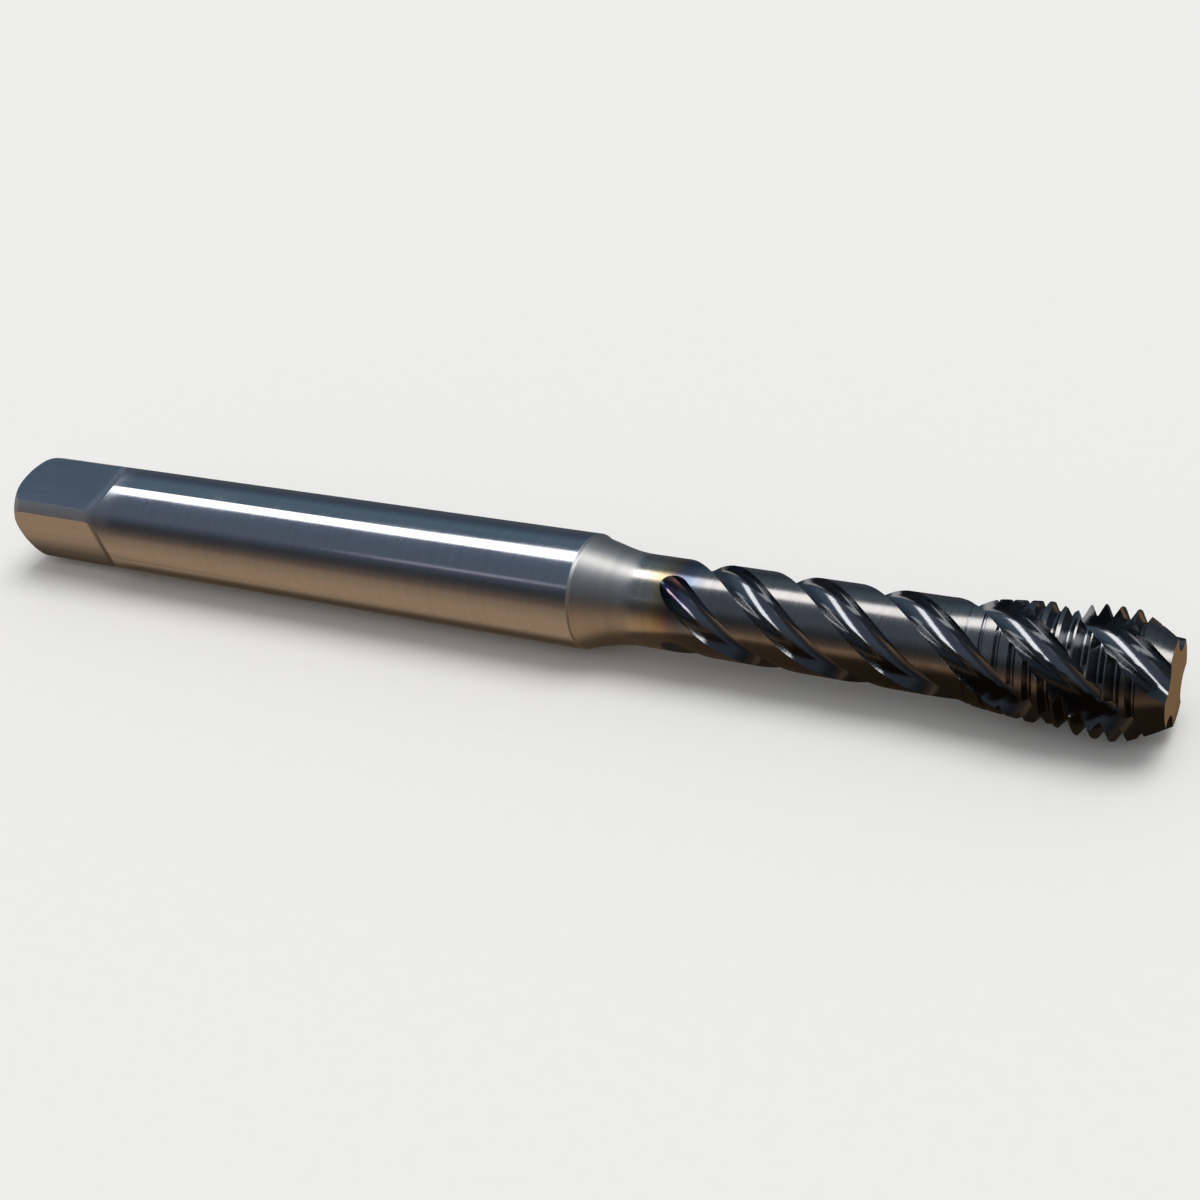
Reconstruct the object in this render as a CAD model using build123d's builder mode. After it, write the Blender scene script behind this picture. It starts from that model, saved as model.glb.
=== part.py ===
from build123d import *
from math import ceil, cos, radians, sin, tan
import os

# A spiral flute tap in one piece of tool steel, lying on its side with the tip towards +X.
# It is turned and ground standing up, with its axis on Z and its drive end at z = 0,
# and laid down at the end. Lengths are in millimetres and angles in degrees. Turns about
# the axis are counted from the side that faces -Y when the tap lies down.

# Turned blank
total_length = 90.5
shank_diameter = 8.0
reach = 38.5                    # tip back to the shoulder of the shank
end_chamfer = 1.05
shoulder_angle = 13.5           # slope of the cone between shank and neck
shoulder_blend_radius = 9.0     # concave blend of that cone into the neck
shoulder_edge_break = 0.15
neck_diameter = 6.25

# Drive square
square_flats = 4
square_across_flats = 6.3
square_length = 8.5             # drive end to where the flats begin to run out
square_run_out_radius = 2.6
square_turn = -33.5             # one corner of the square

# Thread
thread_diameter = 8.0
thread_pitch = 1.0
thread_angle = 60.0
thread_crest_flat = 0.06
thread_root_flat = 0.1
thread_length = 13.7            # tip back to where the neck starts to widen
full_thread_length = 4.9        # tip back to where the crests reach the full diameter
thread_turn = 9.5               # where the groove starts
lead_chamfer_length = 2.7
lead_chamfer_angle = 23.0

# Flutes
flute_count = 4
flute_lead = 24.0
flute_length = 30.6             # tip back to where the flutes reach their full depth
web_diameter = 3.8
gullet_radius = 0.88
heel_angle = 30.0               # how far the heel wall leans back from the cutting face
run_out_wheel_radius = 2.75
flute_turn = -46.5              # where the first flute reaches its full depth

# How far the square's and the flutes' cutters pass the surfaces that they leave through
cutter_clearance = 0.25

# The flutes are cut in short lengths, which keeps each of them a simple surface
flute_cuts_per_turn = 6

shank_radius = shank_diameter / 2
neck_radius = neck_diameter / 2
thread_radius = thread_diameter / 2
web_radius = web_diameter / 2
shank_length = total_length - reach
thread_start = total_length - thread_length
full_thread_start = total_length - full_thread_length
lead_chamfer_start = total_length - lead_chamfer_length
flute_start = total_length - flute_length
outer_radius = max(shank_radius, thread_radius)

# The turned blank: shank, shoulder, neck, widening thread land and tapered lead
shoulder_radius = shank_radius - shoulder_edge_break
cone_foot = shank_length + (shoulder_radius - neck_radius) / tan(radians(shoulder_angle))
tip_radius = thread_radius - lead_chamfer_length * tan(radians(lead_chamfer_angle))

with BuildPart() as blank:
    with BuildSketch(Plane.XZ):
        with BuildLine():
            shank_side = Polyline(
                (0, 0),
                (shank_radius - end_chamfer, 0),
                (shank_radius, end_chamfer),
                (shank_radius, shank_length - shoulder_edge_break),
                (shoulder_radius, shank_length),
            )
            neck_side = FilletPolyline(
                shank_side @ 1,
                (neck_radius, cone_foot),
                (neck_radius, thread_start),
                radius=shoulder_blend_radius,
            )
            Polyline(
                neck_side @ 1,
                (thread_radius, full_thread_start),
                (thread_radius, lead_chamfer_start),
                (tip_radius, total_length),
                (0, total_length),
                (0, 0),
            )
        make_face()
    revolve(axis=Axis.Z)

# One flat of the drive square, with the round run-out that its wheel leaves
flat_height = square_across_flats / 2
flat_cutter_height = shank_radius + square_run_out_radius
with BuildPart() as flat_cutter:
    with BuildSketch(Plane.XZ):
        with BuildLine():
            flat_side = Line((flat_height, -cutter_clearance), (flat_height, square_length))
            run_out = JernArc(
                start=flat_side @ 1,
                tangent=(0, 1),
                radius=square_run_out_radius,
                arc_size=-90,
            )
            Polyline(
                run_out @ 1,
                (flat_cutter_height, (run_out @ 1).Y),
                (flat_cutter_height, -cutter_clearance),
                flat_side @ 0,
            )
        make_face()
    extrude(amount=shank_radius, both=True)

# One turn of the thread groove: a V with a narrow flat at its root, swept along a
# right-hand helix. Its mouth is a little narrower than the pitch, so turns never meet.
flank_slope = tan(radians(thread_angle / 2))
thread_depth = (thread_pitch - thread_crest_flat - thread_root_flat) / 2 / flank_slope
root_half = thread_root_flat / 2
mouth_half = (thread_pitch - thread_crest_flat / 2) / 2
groove_rise = (mouth_half - root_half) / flank_slope

with BuildLine() as groove_path:
    Helix(pitch=thread_pitch, height=thread_pitch, radius=thread_radius - thread_depth)
groove_helix = groove_path.line
groove_plane = Plane(origin=groove_helix @ 0, x_dir=(1, 0, 0), z_dir=groove_helix % 0)

with BuildPart() as groove_turn:
    with BuildSketch(groove_plane):
        with BuildLine():
            Polyline(
                (0, -root_half),
                (groove_rise, -mouth_half),
                (groove_rise, mouth_half),
                (0, root_half),
                close=True,
            )
        make_face()
    sweep(path=groove_helix, is_frenet=True)

groove_turns = ceil(thread_length / thread_pitch) + 1
groove_places = [
    Location((0, 0, thread_start + turn * thread_pitch), (0, 0, thread_turn))
    for turn in range(groove_turns)
]

# One cut of a flute. Its section stands square to the helix at the neck: a steep
# cutting face, a round gullet and a heel wall that leans back.
flute_cut_length = flute_lead / flute_cuts_per_turn
flute_cut_turn = 360 / flute_cuts_per_turn
with BuildLine() as flute_path:
    Helix(pitch=flute_lead, height=flute_cut_length, radius=neck_radius)
flute_helix = flute_path.line
flute_plane = Plane(origin=flute_helix @ 0, x_dir=(1, 0, 0), z_dir=flute_helix % 0)
gullet_floor = web_radius - neck_radius


def flute_section(outer: float) -> Sketch:
    """The flute's section, open outwards to the radius given."""
    middle = gullet_floor + gullet_radius
    mouth = outer - neck_radius
    heel = radians(heel_angle)
    heel_foot = (middle - gullet_radius * sin(heel), gullet_radius * cos(heel))
    heel_mouth = (mouth, heel_foot[1] + (mouth - heel_foot[0]) * tan(heel))
    with BuildSketch(flute_plane) as section:
        with BuildLine():
            cutting_face = Line((mouth, -gullet_radius), (middle, -gullet_radius))
            gullet = ThreePointArc(cutting_face @ 1, (gullet_floor, 0), heel_foot)
            Polyline(gullet @ 1, heel_mouth, cutting_face @ 0)
        make_face()
    return section.sketch


with BuildPart() as flute_cutter:
    sweep(
        sections=flute_section(outer_radius + cutter_clearance),
        path=flute_helix,
        is_frenet=True,
    )

# Where a flute starts, the round of its wheel lifts the section out of the neck
wheel_centre = flute_plane.from_local_coords((gullet_floor + run_out_wheel_radius, 0, 0))
with BuildPart() as run_out_cutter:
    revolve(
        profiles=flute_section(neck_radius + cutter_clearance),
        axis=Axis(wheel_centre, flute_plane.y_dir),
        revolution_arc=-90,
    )

flute_turns = [flute_turn + flute * 360 / flute_count for flute in range(flute_count)]
flute_cuts = ceil((flute_length + outer_radius) / flute_cut_length)
run_out_places = [Location((0, 0, flute_start), (0, 0, turn)) for turn in flute_turns]
flute_places = [
    Location((0, 0, flute_start + cut * flute_cut_length), (0, 0, turn + cut * flute_cut_turn))
    for turn in flute_turns
    for cut in range(flute_cuts)
]

# The blank with its square, thread and flutes ground in
with BuildPart() as ground_tap:
    add(blank.part)
    with PolarLocations(0, square_flats, start_angle=square_turn + 180 / square_flats):
        add(flat_cutter.part, mode=Mode.SUBTRACT)
    with Locations(*groove_places):
        add(groove_turn.part, mode=Mode.SUBTRACT)
    with Locations(*flute_places):
        add(flute_cutter.part, mode=Mode.SUBTRACT)
    with Locations(*run_out_places):
        add(run_out_cutter.part, mode=Mode.SUBTRACT)

# Laid down on its shank and on two lands of its thread, with a flute facing down between
# them, the origin under the middle of its length
lying = Plane(origin=(-total_length / 2, 0, outer_radius), x_dir=(0, -1, 0), z_dir=(1, 0, 0))
with BuildPart() as tap:
    add(lying.from_local_coords(ground_tap.part))

os.makedirs("parts", exist_ok=True)
tap.part.label = "tap"
export_step(tap.part, "parts/tap.step")
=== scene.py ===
"""The looks of a spiral flute tap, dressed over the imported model.

The real tap is ground from one bar of tool steel, so it is one piece here too. Its mesh is made
in the order in which the tap itself is made: the blank is turned, the flats of the square are
ground, the thread is cut and the flutes are ground through it. That is done standing up, with the
drive end at the bottom and in millimetres. The finished mesh is then laid down in metres.
"""

import logging
from dataclasses import dataclass
from enum import Enum
from math import acos, ceil, cos, hypot, pi, radians, sin, tan
from typing import Any, Iterable, NamedTuple, Optional, Sequence, Union

import bmesh
import bpy
from mathutils import Matrix, Vector

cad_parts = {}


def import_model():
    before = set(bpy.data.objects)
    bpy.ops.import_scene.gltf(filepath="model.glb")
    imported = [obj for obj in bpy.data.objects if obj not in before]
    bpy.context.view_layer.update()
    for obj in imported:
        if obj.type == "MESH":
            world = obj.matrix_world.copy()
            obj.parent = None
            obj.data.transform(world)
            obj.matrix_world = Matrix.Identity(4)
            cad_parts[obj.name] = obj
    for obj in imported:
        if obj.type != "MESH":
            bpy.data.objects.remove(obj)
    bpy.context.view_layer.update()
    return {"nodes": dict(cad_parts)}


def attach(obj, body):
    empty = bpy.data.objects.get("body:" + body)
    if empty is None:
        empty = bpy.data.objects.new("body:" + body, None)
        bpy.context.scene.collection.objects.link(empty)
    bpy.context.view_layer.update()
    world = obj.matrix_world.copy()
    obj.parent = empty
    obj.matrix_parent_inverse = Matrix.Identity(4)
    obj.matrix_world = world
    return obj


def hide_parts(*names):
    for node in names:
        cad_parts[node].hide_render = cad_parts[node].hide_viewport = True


Color = tuple[float, float, float, float]
Span = tuple[float, float]
Stops = Sequence[tuple[float, Color]]
Operand = Union["Wire", float]
LOG = logging.getLogger("tap")
MM_PER_M = 1000.0
WORN_AND_HIGHLIT_STEEL: Color = (0.42, 0.41, 0.40, 1.0)


class Metal(Enum):
    """The surfaces of the tap that differ in finish, by their place in its material list."""

    TURNED = 0
    SQUARE = 1
    THREAD = 2
    FLUTE = 3


# Shader wiring


class Wire:
    """One output of a node. Python arithmetic on it adds Math nodes."""

    def __init__(self, bench: "Bench", socket: bpy.types.NodeSocket) -> None:
        """Holds the socket.

        Args:
            bench: The node tree that the socket is in.
            socket: The output socket.
        """
        self.bench = bench
        self.socket = socket

    def math(self, operation: str, *operands: Operand) -> "Wire":
        """Adds one Math node.

        Args:
            operation: The operation's name in Blender.
            operands: The values of its inputs, in order.

        Returns:
            The node's output.
        """
        inputs = dict(enumerate(operands))
        return self.bench.wire("ShaderNodeMath", {"operation": operation}, inputs)

    def __add__(self, other: Operand) -> "Wire":
        """Gives self + other."""
        return self.math("ADD", self, other)

    def __radd__(self, other: Operand) -> "Wire":
        """Gives other + self."""
        return self.math("ADD", other, self)

    def __sub__(self, other: Operand) -> "Wire":
        """Gives self - other."""
        return self.math("SUBTRACT", self, other)

    def __rsub__(self, other: Operand) -> "Wire":
        """Gives other - self."""
        return self.math("SUBTRACT", other, self)

    def __mul__(self, other: Operand) -> "Wire":
        """Gives self * other."""
        return self.math("MULTIPLY", self, other)

    def __rmul__(self, other: Operand) -> "Wire":
        """Gives other * self."""
        return self.math("MULTIPLY", other, self)

    def __truediv__(self, other: Operand) -> "Wire":
        """Gives self / other."""
        return self.math("DIVIDE", self, other)

    def __rtruediv__(self, other: Operand) -> "Wire":
        """Gives other / self."""
        return self.math("DIVIDE", other, self)

    def __pow__(self, other: Operand) -> "Wire":
        """Gives self to the power of other."""
        return self.math("POWER", self, other)

    def __neg__(self) -> "Wire":
        """Gives self with its sign changed."""
        return self.math("MULTIPLY", self, -1.0)

    def __abs__(self) -> "Wire":
        """Gives the size of self."""
        return self.math("ABSOLUTE", self)

    def larger(self, other: Operand) -> "Wire":
        """Gives the larger of self and other."""
        return self.math("MAXIMUM", self, other)

    def fraction(self) -> "Wire":
        """Gives the part of self past its whole number."""
        return self.math("FRACT", self)

    def step(self, low: float, high: float) -> "Wire":
        """Gives a smooth step on self.

        Args:
            low: Where the step starts.
            high: Where the step ends; less than low for a step down.

        Returns:
            A value that goes from 0 at low to 1 at high.
        """
        settings = {"interpolation_type": "SMOOTHSTEP"}
        start, end, begin, finish = (low, high, 0.0, 1.0) if low < high else (high, low, 1.0, 0.0)
        inputs = {0: self, 1: start, 2: end, 3: begin, 4: finish}
        return self.bench.wire("ShaderNodeMapRange", settings, inputs)

    def swing(self, depth: Operand) -> "Wire":
        """Gives noise that lies about 0.5 as a swing about 0, times the depth."""
        return (self - 0.5) * depth


class Spot(NamedTuple):
    """The Object coordinates of the point that is shaded."""

    x: Wire
    y: Wire
    z: Wire


class Bench:
    """The node tree of one material or world, and the only place where nodes are added."""

    def __init__(self, tree: bpy.types.NodeTree) -> None:
        """Takes the tree over and clears it.

        Args:
            tree: The node tree to fill.
        """
        self.tree = tree
        tree.nodes.clear()

    def node(
        self,
        kind: str,
        settings: Optional[dict[str, Any]] = None,
        inputs: Optional[dict[Union[int, str], Any]] = None,
    ) -> bpy.types.Node:
        """Adds one node.

        Args:
            kind: The node's type.
            settings: Its properties, which are set first. The entry "stops" fills a color ramp.
            inputs: The values or wires of its inputs, by name or place.

        Returns:
            The node.
        """
        node = self.tree.nodes.new(kind)
        for name, value in (settings or {}).items():
            if name == "stops":
                self.fill_ramp(node.color_ramp, value)
            else:
                setattr(node, name, value)
        for key, value in (inputs or {}).items():
            if isinstance(value, Wire):
                self.tree.links.new(value.socket, node.inputs[key])
            else:
                node.inputs[key].default_value = value
        return node

    def wire(
        self,
        kind: str,
        settings: Optional[dict[str, Any]] = None,
        inputs: Optional[dict[Union[int, str], Any]] = None,
        output: Union[int, str] = 0,
    ) -> Wire:
        """Adds one node and gives one of its outputs.

        Args:
            kind: The node's type.
            settings: Its properties.
            inputs: The values or wires of its inputs.
            output: The name or place of the output.

        Returns:
            The output.
        """
        return Wire(self, self.node(kind, settings, inputs).outputs[output])

    @staticmethod
    def fill_ramp(ramp: bpy.types.ColorRamp, stops: Stops) -> None:
        """Gives a color ramp its stops.

        Args:
            ramp: The ramp, with Blender's two first stops.
            stops: Place and color of each stop, in order.
        """
        for place, color in stops[2:]:
            ramp.elements.new(place).color = color
        for element, (place, color) in zip(ramp.elements, stops):
            element.position = place
            element.color = color

    def blend(self, first: Union[Wire, Color], second: Union[Wire, Color], share: Operand) -> Wire:
        """Mixes two colors.

        Args:
            first: The color where the share is 0.
            second: The color where the share is 1.
            share: How much of the second there is.

        Returns:
            The mixed color.
        """
        # This node has sockets of the same name for each type of data. Those of colors are its
        # inputs 6 and 7 and its output 2.
        inputs = {0: share, 6: first, 7: second}
        return self.wire("ShaderNodeMix", {"data_type": "RGBA"}, inputs, 2)

    def plain(self, color: Color) -> Wire:
        """Gives one color as a wire."""
        return self.blend(color, color, 0.0)

    def ramp(self, stops: Stops, share: Wire) -> Wire:
        """Reads a color off a color ramp.

        Args:
            stops: Place and color of each stop, in order.
            share: Where it is read.

        Returns:
            The color.
        """
        return self.wire("ShaderNodeValToRGB", {"stops": stops}, {0: share}, "Color")

    def shade(self, color: Wire, level: Operand) -> Wire:
        """Makes a color lighter or darker.

        Args:
            color: The color.
            level: What it is multiplied by.

        Returns:
            The new color.
        """
        return self.wire("ShaderNodeVectorMath", {"operation": "SCALE"}, {0: color, 3: level})

    def noise(self, vector: Wire, detail: float = 2.0, scale: float = 1.0) -> Wire:
        """Gives noise between about 0.2 and 0.8.

        Args:
            vector: Where the noise is read.
            detail: How many finer layers it has.
            scale: How many patches there are to a unit of the vector.

        Returns:
            The noise.
        """
        inputs = {"Vector": vector, "Scale": scale, "Detail": detail}
        return self.wire("ShaderNodeTexNoise", None, inputs, "Fac")

    def spot(self) -> Spot:
        """Gives the Object coordinates of the point that is shaded."""
        point = self.wire("ShaderNodeTexCoord", output="Object")
        split = self.node("ShaderNodeSeparateXYZ", None, {0: point})
        return Spot(*(Wire(self, output) for output in split.outputs))


def new_material(name: str) -> tuple[bpy.types.Material, Bench]:
    """Adds a material.

    Args:
        name: The material's name.

    Returns:
        The material and its node tree, which is empty.
    """
    material = bpy.data.materials.new(name)
    material.use_nodes = True
    return material, Bench(material.node_tree)


class TapPlace:
    """Where a point of the surface is on the tap, in millimetres and turns.

    Its main wires are along, from the drive end, past_shoulder and past_start, which is where
    the flutes reach their full depth, then across, up and radius, from the tap's axis.
    """

    def __init__(self, bench: Bench, blank: "TurnedBlank", flutes: "SpiralFlutes") -> None:
        """Works the place out from the point's Object coordinates.

        Args:
            bench: The material's node tree.
            blank: The blank, for its length and how high its axis lies.
            flutes: The flutes, for the turn and the lead of their helix.
        """
        self.bench = bench
        spot = bench.spot()
        self.along = spot.x * MM_PER_M + blank.total_length / 2
        self.past_shoulder = self.along - blank.from_tip(blank.reach)
        self.past_start = self.along - blank.from_tip(flutes.length)
        self.across = spot.y * MM_PER_M
        self.up = spot.z * MM_PER_M - blank.outer_radius
        self.radius = (self.across * self.across + self.up * self.up) ** 0.5
        turn = self.radius.math("ARCTAN2", -self.up, -self.across) / (2 * pi)
        advance = self.past_start / flutes.lead
        # 0 and 1 on the middle line of a flute, 0.5 about the middle of a land. The whole turns
        # that are added keep it above 0.
        whole_turns = 8.0
        self.flute_phase = (
            (turn - flutes.first_turn / 360 - advance) * flutes.count + flutes.count * whole_turns
        ).fraction()

    def vector(self, x: Operand, y: Operand, z: Operand) -> Wire:
        """Gives the vector of three values."""
        return self.bench.wire("ShaderNodeCombineXYZ", None, {0: x, 1: y, 2: z})

    def rings(self, per_mm: float, length_mm: float, detail: float) -> Wire:
        """Gives the lines that turning and round grinding leave about the axis.

        Args:
            per_mm: How many lines there are to a millimetre.
            length_mm: About how far a line runs before it fades.
            detail: How many finer layers the lines have.

        Returns:
            Their height, between about 0.2 and 0.8.
        """
        # On the end faces the lines run round too, as they follow the radius
        line = (self.along + self.radius * 0.8) * per_mm
        spot = self.vector(line, self.across / length_mm, self.up / length_mm)
        return self.bench.noise(spot, detail)

    def cloud(self, size_mm: float, detail: float = 3.0) -> Wire:
        """Gives soft patches.

        Args:
            size_mm: About how large a patch is.
            detail: How many finer layers the patches have.

        Returns:
            Noise, between about 0.2 and 0.8.
        """
        spot = self.vector(self.along / size_mm, self.across / size_mm, self.up / size_mm)
        return self.bench.noise(spot, detail)


# Finishes


@dataclass(frozen=True)
class TemperTint:
    """The colors that heat leaves on steel where the coating of the cutting end fades out.

    Its places are millimetres past the point where the flutes reach their full depth.
    """

    bare: Color = (0.56, 0.54, 0.51, 1.0)
    straw: Color = (0.58, 0.51, 0.39, 1.0)
    gold: Color = (0.50, 0.39, 0.23, 1.0)
    rose: Color = (0.33, 0.24, 0.21, 1.0)
    violet: Color = (0.23, 0.20, 0.25, 1.0)
    blue: Color = (0.17, 0.225, 0.32, 1.0)
    coat: Color = (0.34, 0.325, 0.31, 1.0)
    places: tuple[float, ...] = (-3.8, -2.6, -1.8, -1.2, -0.7, -0.1, 1.2)
    wander_size: float = 1.4
    wander: float = 0.8
    underside: Span = (1.2, -1.0)
    painted_underside_fade: float = 0.85

    def color(self, place: TapPlace) -> Wire:
        """Colors a surface from bare steel to coat along the tap, with the tint mostly painted out
        on its underside, which mirrors the dark table.

        Args:
            place: Where the point is.

        Returns:
            The color.
        """
        bench = place.bench
        first, last = self.places[0], self.places[-1]
        tints = (self.bare, self.straw, self.gold, self.rose, self.violet, self.blue, self.coat)
        stops = [((mm - first) / (last - first), tint) for mm, tint in zip(self.places, tints)]
        along = place.past_start + place.cloud(self.wander_size) * self.wander - self.wander / 2
        tinted = bench.ramp(stops, (along - first) / (last - first))
        plain = bench.blend(self.bare, self.coat, self.coated(place))
        # Painted light: the underside is painted plainer, without most of the tint, to stand in
        # for the dark table that it mirrors.
        return bench.blend(tinted, plain, place.up.step(*self.underside) * self.painted_underside_fade)

    def coated(self, place: TapPlace) -> Wire:
        """Gives 0 on the bare steel and 1 on the coat."""
        return place.past_start.step(self.places[2], self.places[-1])


@dataclass(frozen=True)
class Finish:
    """What the tap's finishes share: a metal surface with marks, wear and a fine bump.

    Fields named marks are how much lighter and darker lines make the color, and fields named dull
    are added to the roughness. Spans are in millimetres, but one named share is a part of noise.
    """

    name: str
    metal: Metal
    bump_depth: float = 0.003

    def material(self, blank: "TurnedBlank", flutes: "SpiralFlutes") -> bpy.types.Material:
        """Makes the material.

        Args:
            blank: The blank, for the places on it.
            flutes: The flutes, for the places in them.

        Returns:
            The material.
        """
        material, bench = new_material(self.name)
        color, roughness, height = self.surface(TapPlace(bench, blank, flutes))
        bump = {"Strength": 1.0, "Distance": self.bump_depth / MM_PER_M, "Height": height}
        steel = {
            "Base Color": color,
            "Metallic": 1.0,
            "Roughness": roughness,
            "Normal": bench.wire("ShaderNodeBump", None, bump),
        }
        shader = bench.wire("ShaderNodeBsdfPrincipled", None, steel)
        bench.node("ShaderNodeOutputMaterial", None, {"Surface": shader})
        return material

    def surface(self, place: TapPlace) -> tuple[Wire, Wire, Wire]:
        """Gives the color, the roughness and the height of the bump."""
        raise NotImplementedError


@dataclass(frozen=True)
class TurnedFinish(Finish):
    """The round surfaces: bright ground shank, satin shoulder and neck, coated lands.

    The spans of neck, cone and edge are past the shoulder, and the dull ones past the drive end.
    """

    bump_depth: float = 0.0035
    tint: TemperTint = TemperTint()
    shank_color: Color = (0.57, 0.58, 0.60, 1.0)
    edge_highlight_color: Color = (0.8, 0.8, 0.79, 1.0)
    shank_roughness: float = 0.13
    edge_roughness: float = 0.38
    cone_roughness: float = 0.42
    neck_roughness: float = 0.21
    land_roughness: float = 0.2
    neck_start: Span = (-0.08, 0.04)
    cone_end: Span = (4.4, 3.3)
    edge_start: Span = (-0.22, -0.14)
    edge_end: Span = (0.06, -0.02)
    fine_rings: tuple[float, float, float] = (7.0, 5.0, 2.0)
    broad_rings: tuple[float, float, float] = (1.6, 14.0, 1.0)
    mark_level: float = 0.94
    fine_marks: float = 0.14
    broad_marks: float = 0.1
    broad_neck_marks: float = 0.14
    crest_radius: Span = (3.93, 3.99)
    crest_wear_and_highlight: float = 0.6
    smudge_size: float = 6.0
    smudge_dull: float = 0.12
    fine_dull: float = 0.05
    stain_size: float = 2.6
    stain_share: Span = (0.54, 0.72)
    stain_dull: float = 0.045
    run_out_span: Span = (12.2, 10.3)
    run_out_dull: float = 0.16
    square_span: Span = (9.7, 8.3)
    square_dull: float = 0.22
    satin_smudge_dull: float = 0.08
    satin_fine_dull: float = 0.1
    fine_height: float = 0.25
    fine_neck_height: float = 0.3
    broad_height: float = 0.6
    broad_neck_height: float = 0.2

    def surface(self, place: TapPlace) -> tuple[Wire, Wire, Wire]:
        """Blends the finishes of shank, neck and lands along the tap.

        Args:
            place: Where the point is.

        Returns:
            Color, roughness and the height of the bump.
        """
        bench = place.bench
        past = place.past_shoulder
        fine = place.rings(*self.fine_rings)
        broad = place.rings(*self.broad_rings)
        smudge = place.cloud(self.smudge_size)
        neck = past.step(*self.neck_start)
        cone = neck * past.step(*self.cone_end)
        edge = past.step(*self.edge_start) * past.step(*self.edge_end)
        coated = self.tint.coated(place)
        color = bench.blend(self.shank_color, self.tint.color(place), neck)
        # Painted highlight: the shoulder's edge break is painted lighter, for the bright line that
        # it catches.
        color = bench.blend(color, self.edge_highlight_color, edge)
        marks = self.mark_level + fine.swing(self.fine_marks)
        marks = marks + broad.swing(self.broad_marks + neck * self.broad_neck_marks)
        # The crests of the coated lands are worn lighter, which also paints a highlight on them.
        crest = place.radius.step(*self.crest_radius) * coated
        color = bench.blend(bench.shade(color, marks), WORN_AND_HIGHLIT_STEEL, crest * self.crest_wear_and_highlight)
        stain = place.cloud(self.stain_size).step(*self.stain_share) * self.stain_dull
        plain = self.shank_roughness + smudge.swing(self.smudge_dull)
        plain = plain + fine.swing(self.fine_dull) + stain
        plain = plain + place.along.step(*self.run_out_span) * self.run_out_dull
        plain = plain + place.along.step(*self.square_span) * self.square_dull
        satin = self.neck_roughness + cone * (self.cone_roughness - self.neck_roughness)
        satin = satin + coated * (self.land_roughness - self.neck_roughness)
        satin = satin + fine.swing(self.satin_fine_dull) + smudge.swing(self.satin_smudge_dull)
        roughness = plain + (satin - plain) * neck
        roughness = roughness + (self.edge_roughness - roughness) * edge
        height = fine * (self.fine_height + neck * self.fine_neck_height)
        height = height + broad * (self.broad_height + neck * self.broad_neck_height)
        return color, roughness, height


@dataclass(frozen=True)
class SquareFinish(Finish):
    """The flats of the drive square, ground lengthwise and dull on their run-outs."""

    bump_depth: float = 0.001
    flat_color: Color = (0.56, 0.57, 0.60, 1.0)
    roughness: float = 0.07
    line_length: float = 5.0
    lines_per_mm: float = 6.0
    line_detail: float = 3.0
    mark_level: float = 0.92
    line_marks: float = 0.2
    line_dull: float = 0.04
    smudge_size: float = 4.0
    smudge_dull: float = 0.04
    run_out_span: Span = (8.3, 9.5)
    run_out_dull: float = 0.24

    def surface(self, place: TapPlace) -> tuple[Wire, Wire, Wire]:
        """Draws fine lines along the flats.

        Args:
            place: Where the point is.

        Returns:
            Color, roughness and the height of the bump.
        """
        bench = place.bench
        spot = place.vector(
            place.along / self.line_length,
            place.across * self.lines_per_mm,
            place.up * self.lines_per_mm,
        )
        lines = bench.noise(spot, self.line_detail)
        smudge = place.cloud(self.smudge_size)
        marks = self.mark_level + lines.swing(self.line_marks)
        color = bench.shade(bench.plain(self.flat_color), marks)
        roughness = self.roughness + lines.swing(self.line_dull) + smudge.swing(self.smudge_dull)
        roughness = roughness + place.along.step(*self.run_out_span) * self.run_out_dull
        return color, roughness, lines


@dataclass(frozen=True)
class FluteFinish(Finish):
    """The ground gullets under a smooth dark coat, iridescent where they start."""

    bump_depth: float = 0.0035
    roughness: float = 0.14
    gloss_tint: Color = (0.30, 0.305, 0.315, 1.0)
    sheen: Stops = (
        (0.0, (0.10, 0.11, 0.14, 1.0)),
        (0.3, (0.12, 0.30, 0.22, 1.0)),
        (0.5, (0.20, 0.22, 0.50, 1.0)),
        (0.7, (0.40, 0.20, 0.42, 1.0)),
        (1.0, (0.42, 0.40, 0.22, 1.0)),
    )
    sheen_span: Span = (1.2, -2.4)
    sheen_share: float = 0.85
    swirl_size: float = 0.9
    swirl_detail: float = 2.0
    swirl_gain: float = 1.5
    swirl_offset: float = 0.3
    lines_across: float = 34.0
    lines_deep: float = 5.0
    lines_along: float = 0.25
    line_detail: float = 3.0
    mark_level: float = 0.95
    line_marks: float = 0.25
    line_dull: float = 0.1
    smudge_size: float = 3.0
    smudge_dull: float = 0.06

    def surface(self, place: TapPlace) -> tuple[Wire, Wire, Wire]:
        """Draws fine lines along the flutes and tints their starts.

        Args:
            place: Where the point is.

        Returns:
            Color, roughness and the height of the bump.
        """
        bench = place.bench
        # The phase jumps on a flute's middle line, so it is moved on by half
        centred = (place.flute_phase + 0.5).fraction()
        spot = place.vector(
            centred * self.lines_across,
            place.radius * self.lines_deep,
            place.along * self.lines_along,
        )
        lines = bench.noise(spot, self.line_detail)
        start = place.past_start.step(*self.sheen_span)
        swirl = place.cloud(self.swirl_size, self.swirl_detail) * self.swirl_gain
        film = bench.ramp(self.sheen, swirl - self.swirl_offset)
        color = bench.blend(self.gloss_tint, film, start * self.sheen_share)
        color = bench.shade(color, self.mark_level + lines.swing(self.line_marks))
        smudge = place.cloud(self.smudge_size)
        roughness = self.roughness + lines.swing(self.line_dull) + smudge.swing(self.smudge_dull)
        return color, roughness, lines


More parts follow.
